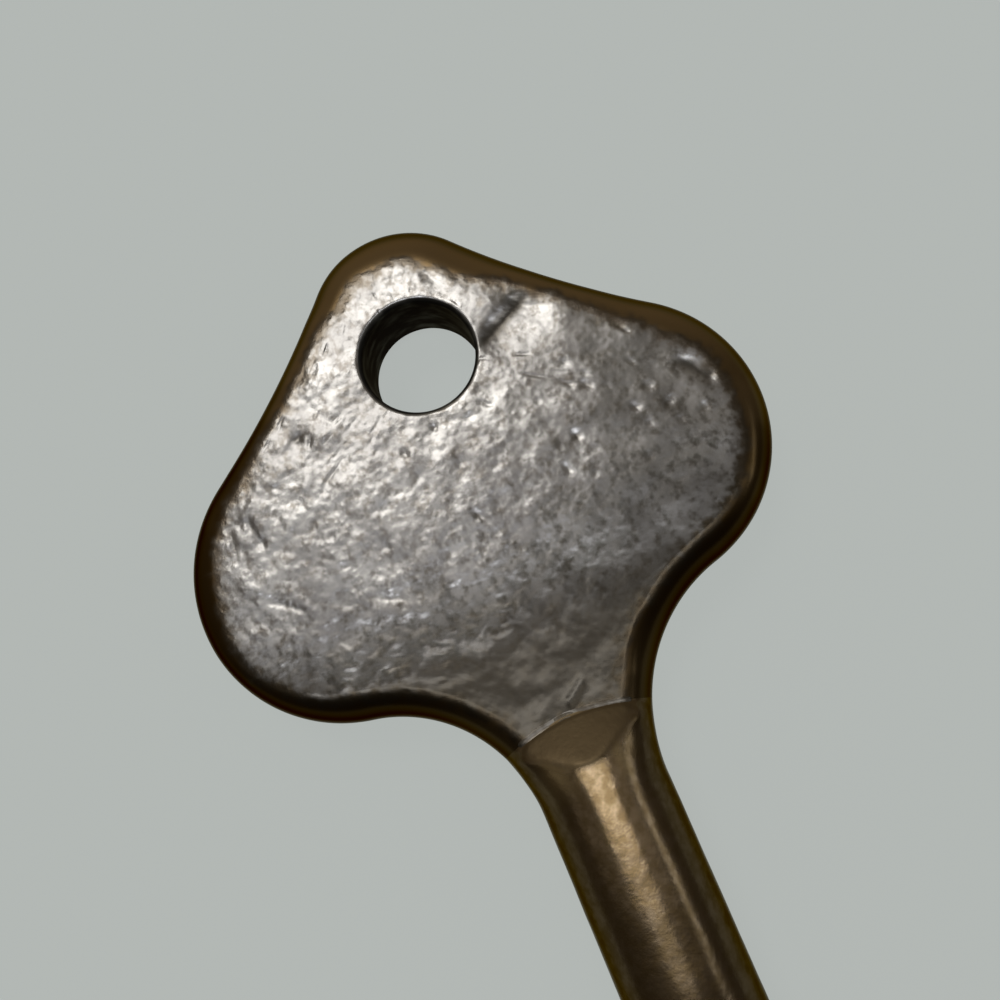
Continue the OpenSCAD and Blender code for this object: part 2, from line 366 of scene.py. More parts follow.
def touching(a, a_r, b, b_r):
    """Centre of the circle that touches two circles from outside, left of the line a to b."""
    gap = np.linalg.norm(b - a)
    along = (gap**2 + a_r**2 - b_r**2) / (2 * gap)
    way = (b - a) / gap
    return a + along * way + math.sqrt(a_r**2 - along**2) * np.array([-way[1], way[0]])


def neck_centre(side):
    """Centre of the neck's hollow, which touches the lobe and runs out level with the shank's side."""
    y, reach = SHANK_R + side["neck_r"], side["lobe_r"] + side["neck_r"]
    return np.array([side["lobe"][0] + math.sqrt(reach**2 - (y - side["lobe"][1]) ** 2), y])


ROUND_X = max(neck_centre(BIT_SIDE)[0], neck_centre(BACK_SIDE)[0])


def joint_sag(y):
    """How far the curved joint line has fallen back towards the shank at a distance y from its crown."""
    return JOINT_R - np.sqrt(JOINT_R**2 - y**2)


def neck_half(side, s):
    """Half width of the neck where cross line s meets its side: s is 0 at the joint, 1 at the round bar."""
    centre, width = neck_centre(side), SHANK_R
    for _ in range(6):
        short = max(0, centre[0] - (JOINT_X + (ROUND_X - JOINT_X) * s + (1 - s) * joint_sag(width)))
        width = centre[1] - math.sqrt(side["neck_r"] ** 2 - short**2)
    return width


def side_curve(side, tilt):
    """One side of the outline, from the end lobe's corner to the joint, at a tilt of the rounded rim."""
    inset = RIM_W * (1 - math.cos(tilt))
    hollow = touching(END_LOBE, END_LOBE_R + HOLLOW_R, side["lobe"], side["lobe_r"] + HOLLOW_R)
    neck = neck_centre(side)
    to_hollow, to_neck = bearing(hollow - END_LOBE), bearing(neck - side["lobe"])
    last_y = neck_half(side, 0) - inset
    last = np.array([JOINT_X + joint_sag(last_y), last_y])
    t = np.linspace(0, 1, SIDE_STEPS[3] + 1)[:, None]
    turn = np.radians(to_neck - 180 + t * (bearing(last - neck) - to_neck + 180))
    radius = side["neck_r"] + inset + t**2 * (np.linalg.norm(last - neck) - side["neck_r"] - inset)
    points = np.concatenate([
        arc(END_LOBE, END_LOBE_R - inset, CORNER, to_hollow, SIDE_STEPS[0]),
        arc(hollow, HOLLOW_R + inset, to_hollow - 180, bearing(side["lobe"] - hollow), SIDE_STEPS[1]),
        arc(side["lobe"], side["lobe_r"] - inset, bearing(hollow - side["lobe"]), to_neck, SIDE_STEPS[2]),
        neck + radius * np.concatenate([np.cos(turn), np.sin(turn)], -1),
    ])
    return points * [1, side["sign"]]


def bow_sides(tilt):
    """The outline's four sides at a tilt: back side, bit side, end arc and joint, each a row of points."""
    low, high = side_curve(BACK_SIDE, tilt), side_curve(BIT_SIDE, tilt)
    sweep = np.radians(np.linspace(360 - CORNER, CORNER, ACROSS + 1))[:, None]
    end_r = END_LOBE_R - RIM_W * (1 - math.cos(tilt))
    end = END_LOBE + end_r * np.concatenate([np.cos(sweep), np.sin(sweep)], -1)
    y = np.linspace(low[-1, 1], high[-1, 1], ACROSS + 1)
    joint = np.stack([JOINT_X + joint_sag(y), y], -1)
    return low, high, end, joint


def loop_round(low, high, end, joint):
    """Joins the four sides into one loop, anticlockwise from above."""
    return np.concatenate([low[:-1], joint[:-1], high[:0:-1], end[:0:-1]])


print("outline:", len(loop_round(*bow_sides(0))), "points, neck round from x =", round(ROUND_X, 2))

# %% [markdown]
# ## The bow
#
# The bow was poured flat, and its rim rounded with a file. One face is a grid stretched between the
# four sides of the outline, each point the blend of its place between the sides. A block of cells
# round the hole is taken out, so that the mesh can follow the hole there.

# %% Faces of the bow
def stretched_grid(low, high, end, joint):
    """Grid between four sides: the blend of both pairs of sides less the blend of the four corners."""
    u = np.linspace(0, 1, ALONG + 1)[:, None, None]
    v = np.linspace(0, 1, ACROSS + 1)[None, :, None]
    pairs = (1 - v) * low[:, None] + v * high[:, None] + (1 - u) * end[None] + u * joint[None]
    corners = (1 - u) * ((1 - v) * low[0] + v * high[0]) + u * ((1 - v) * low[-1] + v * high[-1])
    return pairs - corners


face_xy = stretched_grid(*bow_sides(math.pi / 2))
BLOCK_X = (-4.4, 4.3)
BLOCK_SHARE = (0.23, 0.77)
middle_x = face_xy[:, ACROSS // 2, 0]
i0, i1 = np.searchsorted(middle_x, BLOCK_X[0]), np.searchsorted(middle_x, BLOCK_X[1])
j0, j1 = (round(share * ACROSS) for share in BLOCK_SHARE)


def block_edge(grid):
    """The edge of the block round the hole, as one loop, anticlockwise from above."""
    return np.concatenate([grid[i0:i1, j0], grid[i1, j0:j1], grid[i1:i0:-1, j1], grid[i0, j1:j0:-1]])


edge_xy = block_edge(face_xy)
edge_way = edge_xy / np.linalg.norm(edge_xy, axis=1, keepdims=True)
print(f"face: {ALONG} by {ACROSS} cells, {len(edge_xy)} round the hole")

# %% [markdown]
# The hole was drilled and its mouths were rubbed round. Rings run from the block's edge into the
# mouth, down the wall and out to the other face.

# %% Rings through the hole
FACE_RINGS = 10
MOUTH_RINGS = 6
WALL_RINGS = 8


def hole_rings():
    """Points of the rings from the front block edge, down the hole and out to the back one."""
    share = np.linspace(0, 1, FACE_RINGS + 1)[1:]
    turn = np.linspace(0, math.pi / 2, MOUTH_RINGS + 1)[1:]
    rings = [(1 - t) * edge_xy + t * edge_way * (HOLE_R + MOUTH) for t in share]
    radii = HOLE_R + MOUTH * (1 - np.sin(turn))
    depths = MOUTH * (1 - np.cos(turn))
    rings += [edge_way * r for r in radii]
    depths = np.concatenate([np.zeros(FACE_RINGS), depths])
    walls = np.linspace(MOUTH, 2 * HALF_T - MOUTH, WALL_RINGS + 2)[1:-1]
    xy = np.array(rings + [edge_way * HOLE_R] * WALL_RINGS + rings[::-1])
    z = HALF_T - np.concatenate([depths, walls, 2 * HALF_T - depths[::-1]])
    return np.concatenate([xy, np.repeat(z[:, None, None], xy.shape[1], 1)], -1)


HOLE_COUNT = 2 * (FACE_RINGS + MOUTH_RINGS) + WALL_RINGS
print("rings through the hole:", HOLE_COUNT)

# %% [markdown]
# More rings carry the rim from the front face round to the back. Each point gets its number here,
# and the faces are made from the numbers, before any point has its final height.

# %% Numbers of the bow's points
RIM_TILTS = np.radians(np.linspace(90, -90, 23)[1:-1])
FACE_COUNT = face_xy.shape[0] * face_xy.shape[1]


def whole_loop(grid):
    """The edge of a face grid as one loop, anticlockwise from above."""
    return loop_round(grid[:, 0], grid[:, -1], grid[0], grid[-1])


ids = np.arange(FACE_COUNT).reshape(face_xy.shape[:2])
back_ids = ids + FACE_COUNT
rim_size = len(whole_loop(ids))
rim_ids = 2 * FACE_COUNT + np.arange(len(RIM_TILTS) * rim_size).reshape(-1, rim_size)
hole_ids = rim_ids.max() + 1 + np.arange(HOLE_COUNT * len(edge_xy)).reshape(HOLE_COUNT, -1)
rim_stack = np.concatenate([whole_loop(ids)[None], rim_ids, whole_loop(back_ids)[None]])
hole_stack = np.concatenate([block_edge(ids)[None], hole_ids, block_edge(back_ids)[None]])


def face_quads(grid):
    """Faces of a grid without the block round the hole."""
    q = np.stack([grid[:-1, :-1], grid[1:, :-1], grid[1:, 1:], grid[:-1, 1:]], -1)
    keep = np.ones(q.shape[:2], bool)
    keep[i0:i1, j0:j1] = False
    return q[keep]


bow_faces = [face_quads(ids), face_quads(back_ids)[:, ::-1]]
bow_faces += [quads(rim_stack[:-1], rim_stack[1:]), quads(hole_stack[1:], hole_stack[:-1])]
print(f"bow: {sum(len(f) for f in bow_faces)} faces, {len(RIM_TILTS)} rings round the rim")

# %% [markdown]
# A file has cut the cast skin away along the rim, in a band that is wide on the end lobe and narrow
# at the neck. Its width was read from the photograph at some places, and blends between them.

# %% Band dressed by the file
BAND = [
    ((-7.6, 0.4), 2.5), ((-6.7, -3.0), 1.95), ((-6.0, 4.0), 2.15), ((-3.6, -6.1), 1.25),
    ((-0.2, -9.8), 1.25), ((-1.1, 8.5), 1.3), ((3.1, -13.9), 1.6), ((7.6, -15.7), 1.6),
    ((2.0, 12.4), 1.75), ((5.9, 15.0), 1.75), ((10.5, 14.9), 1.6), ((14.1, 12.2), 1.35),
    ((12.5, -14.4), 1.05), ((15.5, -10.6), 0.95), ((16.9, -6.8), 1.0), ((16.0, 8.1), 1.0),
    ((18.3, 5.2), 1.7), ((19.8, 3.6), 1.3), ((19.7, -4.1), 1.1),
]
BAND_BLEND = 0.3


def band_width(x, y):
    """Width of the dressed band in mm: the named places' widths, weighted by one over distance cubed."""
    total = weight = 0
    for at, width in BAND:
        near = 1 / (BAND_BLEND + np.hypot(x - at[0], y - at[1])) ** 3
        total, weight = total + width * near, weight + near
    return total / weight


EDGE_PARTS = 8
BATCHES = 200
FULLER = 0.2


def inland_mm(points_xy):
    """Distance of face points from the outline: the rim's width, and on to the nearest point of the flat's
    edge, taken in batches to save memory."""
    loop = loop_round(*bow_sides(math.pi / 2))
    steps = np.linspace(0, 1, EDGE_PARTS, endpoint=False)[:, None, None]
    edge = (loop + steps * (np.roll(loop, -1, 0) - loop)).reshape(-1, 2)
    rows = np.array_split(points_xy, BATCHES)
    return RIM_W + np.concatenate([np.hypot(*(r[:, None] - edge[None]).T).min(0) for r in rows])


def rim_height(inland, width):
    """Height of the rounded edge: a quarter ellipse of that width, with a higher power where it is wide."""
    full = 2 + FULLER * (width - RIM_W)
    return HALF_T * (1 - np.clip(1 - inland / width, 0, 1) ** full) ** (1 / full)


widths = [width for _, width in BAND]
print(f"dressed band: {min(widths)} to {max(widths)} mm wide")

# %% Shape of the bow
FAR_INLAND = 9.0

front = np.column_stack([face_xy.reshape(-1, 2), np.full(FACE_COUNT, HALF_T)])
rim_levels = [np.full(rim_size, HALF_T * math.sin(t)) for t in RIM_TILTS]
rim = [np.column_stack([loop_round(*bow_sides(t)), level]) for t, level in zip(RIM_TILTS, rim_levels)]
holes = hole_rings().reshape(-1, 3)
bow_xyz = np.concatenate([front, front * [1, 1, -1], np.concatenate(rim), holes])

depth = np.clip((HALF_T - np.abs(holes[:, 2])) / MOUTH, 0, 1)
wall = np.concatenate([np.zeros(len(bow_xyz) - len(holes)), depth])
rim_inland = np.repeat(RIM_W * (1 - np.cos(RIM_TILTS)), rim_size)
face_inland = inland_mm(face_xy.reshape(-1, 2))
inland = np.concatenate([face_inland, face_inland, rim_inland, np.full(len(holes), FAR_INLAND)])
print(f"bow: the middle of the face lies {face_inland.max():.1f} mm inland")

# %% [markdown]
# The skin's height lifts each point of the faces. It fades out raggedly over the dressed band, where
# the file has cut it away, and the band itself rolls over from the flat to the rim.

# %% Skin of the bow
BAND_ROLL = 1.12
SKIN_FADE = 1.4

x, y, z = bow_xyz.T.copy()
from_joint = JOINT_X + joint_sag(np.clip(y, -6, 6)) - x
width = band_width(x, y)
profile_width = RIM_W + np.maximum(BAND_ROLL * width - RIM_W, 0) * soft_step(from_joint / 1.5)
on_edge = (inland < profile_width) & (inland < FAR_INLAND)
bow_xyz[on_edge, 2] = np.sign(z[on_edge]) * rim_height(inland, profile_width)[on_edge]
ragged = 0.22 * hills(x, y, 0.45, 5) + 0.25 * hills(x, y, 1.6, 6)
skin = np.where(wall > 0, 1 - wall, soft_step((inland - width + ragged) / SKIN_FADE + 0.3))
front_height, soiled = front_skin(x, y)
height = np.where(z > 0, front_height, cast_skin(x, y, BACK_SEED))
bow_xyz[:, 2] += np.sign(z) * height * skin**2 * soft_step(from_joint / 0.5)
bow_piece = make_piece("bow_casting", bow_xyz, bow_faces, skin=skin, wall=wall, soiled=soiled * (z > 0))

# %% [markdown]
# ## The shank
#
# The shank starts at the joint as flat and as wide as the bow, climbs a short ramp to its full
# height, and narrows into a round bar. A cross line starts as a quarter of an ellipse at each corner
# with a flat between them, and swells into an oval and then a circle. The ramp is a plane filed
# across the oval, so each cross line is cut off at the plane's height, with its edge rounded a
# little.

# %% Cross lines of the shank
RING_STEPS = 200
NECK_STATIONS = 60
ROD_STATIONS = 230
CORNER_SHARE = 0.72
OVAL_RUN = 2.0
RAMP_SOFT = 0.16
FLAT_TOP = 0.75
ring_turn = np.linspace(0, 2 * np.pi, RING_STEPS, endpoint=False)


def neck_ring(s, turn, grow=0.0):
    """Cross line s of the neck: from corners joined by flats to an oval, cut off by the ramp's plane."""
    soft = s * s * (3 - 2 * s)
    x_middle, rim = JOINT_X + (ROUND_X - JOINT_X) * s, RIM_W + (SHANK_R - RIM_W) * soft
    share = CORNER_SHARE + (1 - CORNER_SHARE) * soft
    from_side = 1 - np.abs(turn / (np.pi / 2) % 2 - 1)
    tilt = np.pi / 2 * np.minimum(1, from_side / share)
    flat_part = 1 - np.clip((from_side - share) / (1 - share + 1e-9), 0, 1)
    half = np.where(np.cos(turn) > 0, neck_half(BIT_SIDE, s), neck_half(BACK_SIDE, s))
    past = x_middle - JOINT_X
    ramp = HALF_T + (SHANK_R - HALF_T) * past / RAMP_LEN
    oval = soft_step(past / OVAL_RUN)
    flatter = FLAT_TOP + (1 - FLAT_TOP) * soft_step((s - 0.35) / 0.65)
    y = np.sign(np.cos(turn)) * (rim * np.cos(tilt) + (half - rim) * flat_part)
    high = (HALF_T + (SHANK_R - HALF_T) * soft_step(past / 1.2)) * np.sin(tilt)
    y += oval * (half * np.cos(turn) - y)
    high += oval * (SHANK_R * np.abs(np.sin(turn)) ** flatter - high)
    # The ramp's edge is softer towards the sides, and sharp again at both its ends
    ramp_soft = RAMP_SOFT * (0.2 + 6 * np.cos(turn) ** 2) * (high / SHANK_R) ** 2
    ramp_soft *= soft_step(past / 0.8)
    ramp_soft *= 1 - soft_step((s - 0.5) / 0.5)
    high = 0.5 * (high + ramp - np.hypot(high - ramp, ramp_soft)) if past > 0 else high
    y, z = y + grow * np.cos(turn), np.sign(np.sin(turn)) * (high + grow * np.abs(np.sin(tilt)))
    return np.column_stack([x_middle + (1 - s) * joint_sag(y), y, z])


def round_ring(x_at, radius):
    """Circle round the shank's axis."""
    y, z = radius * np.cos(ring_turn), radius * np.sin(ring_turn)
    return np.column_stack([np.full(RING_STEPS, x_at), y, z])


def rod_profile():
    """Stations of the round part: distance along the key and radius, out to the end of the pilot pin."""
    full_end = TIP_X - PIN_LEN
    rod = [(d, SHANK_R) for d in np.linspace(ROUND_X, full_end - SHANK_CHAMFER, ROD_STATIONS)[1:]]
    shoulder = [(full_end - 0.12, SHANK_R - 0.08), (full_end, SHANK_R - SHANK_CHAMFER)]
    foot = [(full_end, PIN_R + PIN_FOOT), (full_end + 0.05, PIN_R + 0.04), (full_end + PIN_FOOT, PIN_R)]
    pin = [(TIP_X - PIN_CHAMFER, PIN_R), (TIP_X - 0.18, PIN_R - 0.2), (TIP_X, PIN_R - PIN_CHAMFER)]
    return rod + shoulder + foot + pin


print(f"neck {ROUND_X - JOINT_X:.2f} mm long, then {len(rod_profile())} stations to the tip")

# %% [markdown]
# The lathe and years of pockets leave a bar almost, but not quite, true, and its highlight shows it.
# Each point also keeps how far it lies on the ramp, beside it and on the ramp's matt surface, for
# the finish to use: the ramp gets a painted shade, and the metal beside it a painted sheen.

# %% Skin of the shank
LONG_TURNS, SHORT_TURNS = 9, 22
FAR_PAST = 9.0


def rod_wander(points):
    """Outward lift in mm of the almost true bar: long and short waves that meet themselves after a turn."""
    turn = np.arctan2(points[:, 2], points[:, 1]) / (2 * np.pi)
    waves = 0.010 * hills(points[:, 0] / 2.2, turn * LONG_TURNS, 1, 31, 0, LONG_TURNS)
    return waves + 0.0045 * hills(points[:, 0] / 0.9, turn * SHORT_TURNS, 1, 32, 0, SHORT_TURNS)


rings = [neck_ring(s, ring_turn) for s in np.linspace(0, 1, NECK_STATIONS)]
rings += [round_ring(*at) for at in rod_profile()]
shank_xyz, shank_faces = stack_rings(rings)
outward = shank_xyz * [0, 1, 1]
outward /= np.linalg.norm(outward, axis=1, keepdims=True)
shank_x = shank_xyz[:, 0]
on_rod = soft_step((shank_x - JOINT_X - 1.5) / 2) * soft_step((TIP_X - PIN_LEN - 1 - shank_x) / 0.5)
shank_xyz += outward * (rod_wander(shank_xyz) * on_rod)[:, None]
ring_past = np.full(len(rings), FAR_PAST)
ring_past[:NECK_STATIONS] = np.linspace(0, ROUND_X - JOINT_X, NECK_STATIONS)
ramp_z = HALF_T + (SHANK_R - HALF_T) * np.repeat(ring_past, RING_STEPS) / RAMP_LEN
# How far a point lies under the ramp's plane tells where it is on or beside the ramp
off_crown, below_ramp = np.abs(shank_xyz[:, 1]), ramp_z - np.abs(shank_xyz[:, 2])
on_ramp = 1 - soft_step(below_ramp / 0.2)
# Beside the ramp, mostly on one side, the metal gets a painted sheen
sheen_beside_ramp = (1 - on_ramp) * (1 - soft_step((shank_x - 21.6) / 1.9)) * soft_step((off_crown - 0.8) / 0.8)
sheen_beside_ramp *= (1 - soft_step((off_crown - 1.9) / 0.9)) * (1 - soft_step((shank_xyz[:, 1] - 1.2) / 0.6))
matt_reach = 0.1 + 0.35 * soft_step((off_crown - 0.6) / 0.8)
matt = 1 - soft_step(below_ramp / matt_reach)
ramp_shares = {"on_ramp": on_ramp, "sheen_beside_ramp": sheen_beside_ramp, "matt": matt}
shank_piece = make_piece("shank_bar", shank_xyz, shank_faces, crease=34, **ramp_shares)

# %% [markdown]
# ## The brazed joint
#
# Where bow and shank meet, a thin line of brazing metal shows across the flat, a little proud and a
# little uneven, as it froze. At the rounded sides the file has taken it down flush, so the bead
# sinks there. It is one ring round the neck, stacked from cross lines close together.

# %% Bead of brazing metal
BEAD_STEPS = 720
BEAD_FROM, BEAD_TO = -0.17, 0.12
BEAD_PROUD = 0.03
BEAD_SUNK = 0.03
BEAD_ROOT = 0.35
bead_turn = np.linspace(0, 2 * np.pi, BEAD_STEPS, endpoint=False)


def bead_ring(along, arch):
    """Cross line of the neck past the joint, lifted by the arch on the flats and sunk at the sides."""
    base = neck_ring(along / (ROUND_X - JOINT_X), bead_turn)
    on_flat = soft_step((np.abs(base[:, 2]) / HALF_T - 0.9) / 0.08)
    y, z = base[:, 1], base[:, 2]
    fuller = 0.2 + 0.8 * soft_step((np.abs(y + 0.6) - 0.6) / 1.8)
    uneven = fuller + 0.5 * hills(y, z, 1.3, 41) + 0.1 * hills(y, z, 0.7, 42)
    grow = on_flat * arch * uneven * BEAD_PROUD - BEAD_SUNK * (1 - on_flat) - (BEAD_ROOT if arch < 0 else 0)
    ring = neck_ring(along / (ROUND_X - JOINT_X), bead_turn, grow)
    ring[:, 0] += 0.07 * hills(y, z, 1.3, 43)
    return ring


shares = np.linspace(0, 1, 8)
bead = [bead_ring(BEAD_FROM + (BEAD_TO - BEAD_FROM) * t, math.sin(math.pi * t) ** 0.8) for t in shares]
bead += [bead_ring(BEAD_TO, -1), bead_ring(BEAD_FROM, -1)]
bow_braze_piece = make_piece("joint_braze", *stack_rings(bead, ends=False))

# %% [markdown]
# ## The bit
#
# The bit is a flat flag with two ward cuts in its edges and a notch in its outer end, all past the edge
# of the photograph. It was sawn and filed, so its cuts have nearly square corners, while
# its outer edges have been rubbed round. The outline is drawn in by a distance to make each ring of
# the rounded edge.

# %% Shape of the bit
OUTER_CORNER, INNER_CORNER, EDGE_R = 0.42, 0.12, 0.2
WARD_W, REAR_WARD, FRONT_WARD, NOTCH = 1.6, 4.0, 3.2, 2.6
RUBBED = [0, 0.3, 1, 1, 1, 0.6, 0.4]
x0, y0 = bit_low[:2]
x1, y1 = bit_high[:2]
rear_y = SHANK_R + 0.36 * (y1 - SHANK_R)
front_y = SHANK_R + 0.56 * (y1 - SHANK_R)
notch_x = x0 + 0.42 * (x1 - x0)
bit_corners = np.array([
    (x0, y0), (x1, y0), (x1, front_y), (x1 - FRONT_WARD, front_y),
    (x1 - FRONT_WARD, front_y + WARD_W), (x1, front_y + WARD_W), (x1, y1), (notch_x + 1.25 * WARD_W, y1),
    (notch_x + 1.25 * WARD_W, y1 - NOTCH), (notch_x, y1 - NOTCH), (notch_x, y1), (x0, y1),
    (x0, rear_y + WARD_W), (x0 + REAR_WARD, rear_y + WARD_W), (x0 + REAR_WARD, rear_y), (x0, rear_y),
])


def inset_outline(inset, steps=6):
    """The bit's outline drawn in by inset, each square corner replaced by a quarter circle."""
    ahead = np.roll(bit_corners, -1, 0) - bit_corners
    ahead /= np.linalg.norm(ahead, axis=1, keepdims=True)
    behind = np.roll(ahead, 1, 0)
    outer = behind[:, 0] * ahead[:, 1] - behind[:, 1] * ahead[:, 0] > 0
    inward = np.stack([-ahead[:, 1], ahead[:, 0]], 1) + np.stack([-behind[:, 1], behind[:, 0]], 1)
    corner = bit_corners + inset * inward
    radius = np.where(outer, OUTER_CORNER - inset, INNER_CORNER + inset)[:, None, None]
    t = np.linspace(0, np.pi / 2, steps + 1)[None, :, None]
    swing = ahead[:, None] * (1 - np.cos(t)) - behind[:, None] * (1 - np.sin(t))
    return (corner[:, None] + radius * swing).reshape(-1, 2)


def bit_ring(inset, z_at):
    """The outline drawn in by inset, at a height."""
    outline = inset_outline(inset)
    return np.column_stack([outline, np.full(len(outline), z_at)])


half_bit = bit_high[2]
edge_turn = np.linspace(0, np.pi / 2, 6)
upper = [(EDGE_R * (1 - math.cos(t)), half_bit - EDGE_R * (1 - math.sin(t))) for t in edge_turn]
upper += [(EDGE_R + 0.1, half_bit)]
bit_rings = [bit_ring(inset, -z_at) for inset, z_at in upper[::-1]]
bit_rings += [bit_ring(inset, z_at) for inset, z_at in upper]
bit_xyz, bit_faces = stack_rings(bit_rings)
rubbed = np.repeat(RUBBED + RUBBED[::-1], len(bit_rings[0]))
bit_piece = make_piece("key_bit", bit_xyz, bit_faces, rubbed=rubbed)

# %% [markdown]
# ## The brazed root of the bit
#
# Brazing metal ran into the corner between the bit's face and the round shank, and froze as a hollow
# fillet. Its cross line is the arc of a circle that touches both. The radius wanders a little along the
# root, and shrinks at both ends, where there was less metal to draw.

# %% Fillets at the root of the bit
FILLET_R = 1.0
FILLET_STATIONS = 90


def fillet_ring(x_at, radius, side):
    """Closed cross line of one fillet: the touching arc, then back through the metal beneath."""
    cz = half_bit + radius
    cy = math.sqrt((SHANK_R + radius) ** 2 - cz**2)
    a = np.linspace(-math.pi / 2, math.atan2(-cz, -cy), 12)
    arc_yz = np.stack([cy + radius * np.cos(a), cz + radius * np.sin(a)], -1)
    under = [arc_yz[-1] * 0.9, [arc_yz[-1][0] * 0.85, half_bit - 0.25], [cy, half_bit - 0.2]]
    y, z = np.concatenate([arc_yz, under]).T
    return np.column_stack([np.full(len(y), x_at), y, z * side])


def fillet(side):
    """One fillet from end to end of the bit's root."""
    run = np.linspace(x0 + 0.05, x1 - 0.05, FILLET_STATIONS)
    ends = soft_step(np.minimum(run - x0, x1 - run) / 1.2)
    radius = FILLET_R * (0.55 + 0.45 * ends)
    radius += 0.07 * hills(run, 0 * run + side, 1.7, 51)
    radius += 0.03 * hills(run, 0 * run + side, 0.6, 52)
    return stack_rings([fillet_ring(a, r, side) for a, r in zip(run, radius)])


upper_xyz, upper_faces = fillet(1)
lower_xyz, lower_faces = fillet(-1)
root_faces = upper_faces + [f + len(upper_xyz) for f in lower_faces]
bit_braze_piece = make_piece("root_braze", np.concatenate([upper_xyz, lower_xyz]), root_faces)

# %% [markdown]
# ## Building a finish from nodes
#
# Each finish starts from a point's place in its piece, in millimetres, so that the grain of the metal
# has a real size. A few small helpers keep the node work readable.

# %% Finish helpers
DARK_EDGE = (0.42, 0.38, 0.30, 1)


def feed(tree, node, inputs):
    """Gives each input of a node a value, or a link if the value is another node's output."""
    for key, value in inputs.items():
        if isinstance(value, bpy.types.NodeSocket):
            tree.links.new(value, node.inputs[key])
        else:
            node.inputs[key].default_value = value


def add(tree, kind, inputs, **settings):
    """Adds a shader node with its settings and its inputs."""
    made = tree.nodes.new(kind)
    for key, value in settings.items():
        setattr(made, key, value)
    feed(tree, made, inputs)
    return made


def new_finish(name):
    """A new material, its node tree and each point's place in millimetres."""
    material = bpy.data.materials.new(name)
    material.use_nodes = True
    tree = material.node_tree
    place = add(tree, "ShaderNodeTexCoord", {}).outputs["Object"]
    place_mm = add(tree, "ShaderNodeVectorMath", {0: place, "Scale": 1 / MM}, operation="SCALE").outputs[0]
    return material, tree, place_mm


def grain(tree, place, per_mm, detail=3.0, rough=0.55, stretch=(1, 1, 1)):
    """Noise from 0 to 1 with so many waves to the millimetre."""
    stretched = add(tree, "ShaderNodeVectorMath", {0: place, 1: stretch}, operation="MULTIPLY").outputs[0]
    inputs = {"Vector": stretched, "Scale": per_mm, "Detail": detail, "Roughness": rough}
    return add(tree, "ShaderNodeTexNoise", inputs).outputs[0]


def share(tree, value, low, high, to_low=0.0, to_high=1.0):
    """Maps low..high to to_low..to_high, and holds outside."""
    inputs = {0: value, 1: low, 2: high, 3: to_low, 4: to_high}
    return add(tree, "ShaderNodeMapRange", inputs, interpolation_type="SMOOTHSTEP").outputs[0]


def sum_of(tree, a, b, how="ADD"):
    """a plus b, or another sum of the two."""
    return add(tree, "ShaderNodeMath", {0: a, 1: b}, operation=how).outputs[0]


def mixed(tree, amount, a, b):
    """Colour a where amount is 0, b where it is 1."""
    a, b = ((*c, 1) if isinstance(c, tuple) else c for c in (a, b))
    return add(tree, "ShaderNodeMix", {0: amount, 6: a, 7: b}, data_type="RGBA").outputs[2]


def kept(tree, name):
    """A value that was kept at each point of the mesh."""
    return add(tree, "ShaderNodeAttribute", {}, attribute_name=name).outputs["Fac"]


def raised(tree, height, mm, under=None):
    """Bends the surface as if height, from 0 to 1, stood so many millimetres proud."""
    inputs = {"Height": height, "Distance": mm * MM, "Strength": 1.0}
    if under:
        inputs["Normal"] = under
    return add(tree, "ShaderNodeBump", inputs).outputs[0]


def set_metal(tree, colour, roughness, relief):
    """Sets the shader to bare metal of a colour and roughness, with the dark tint at its edge."""
    inputs = {"Base Color": colour, "Metallic": 1.0, "Roughness": roughness, "Normal": relief}
    feed(tree, tree.nodes["Principled BSDF"], {**inputs, "Specular Tint": DARK_EDGE})


# %% [markdown]
# ## The cast skin of the bow
#
# The flat faces are the metal's own cast skin, rubbed until the high places shine grey, like pewter.
# The pits and nicks are painted darker, and the groove is painted darker as painted shade. The grey turns
# brown towards the neck, and along the edge of the skin it is painted darker, a painted shade where the
# skin rolls over. The band that the file has dressed is smooth and olive brown, painted gold on its lit
# side and dark brown towards the neck and away from the bit side, as painted light and shade, and the
# wall of the hole is nearly black, dark patina with painted shade.

# %% Colours of the bow
PEWTER, PEWTER_DARK = (0.208, 0.205, 0.202), (0.154, 0.151, 0.149)
PIT_GREY, NECK_BROWN = (0.09, 0.086, 0.082), (0.033, 0.029, 0.023)
BORDER_GREY_SHADE, BORDER_BROWN_SHADE, MARK_DARK = (0.095, 0.084, 0.070), (0.028, 0.023, 0.016), (0.050, 0.046, 0.040)
RIM_LIT_GOLD, RIM_SHADED_BROWN, NECK_RIM = (0.092, 0.063, 0.031), (0.030, 0.018, 0.006), (0.050, 0.034, 0.016)
RIM_SHADE, NECK_SHADE = (0.046, 0.036, 0.025), (0.028, 0.021, 0.013)
WALL_BLACK, WALL_GREY = (0.020, 0.019, 0.017), (0.075, 0.074, 0.066)
TO_NECK_SKIN, TO_NECK_BORDER, TO_NECK_RIM = (8.5, 16.2), (6.0, 13.0), (15.5, 19.0)

# %% [markdown]
# Shares from 0 to 1 say where each finish is: the skin, the wall of the hole, and how near the neck a
# point lies. The skin's border is broken up by fine grain, as wear leaves it.

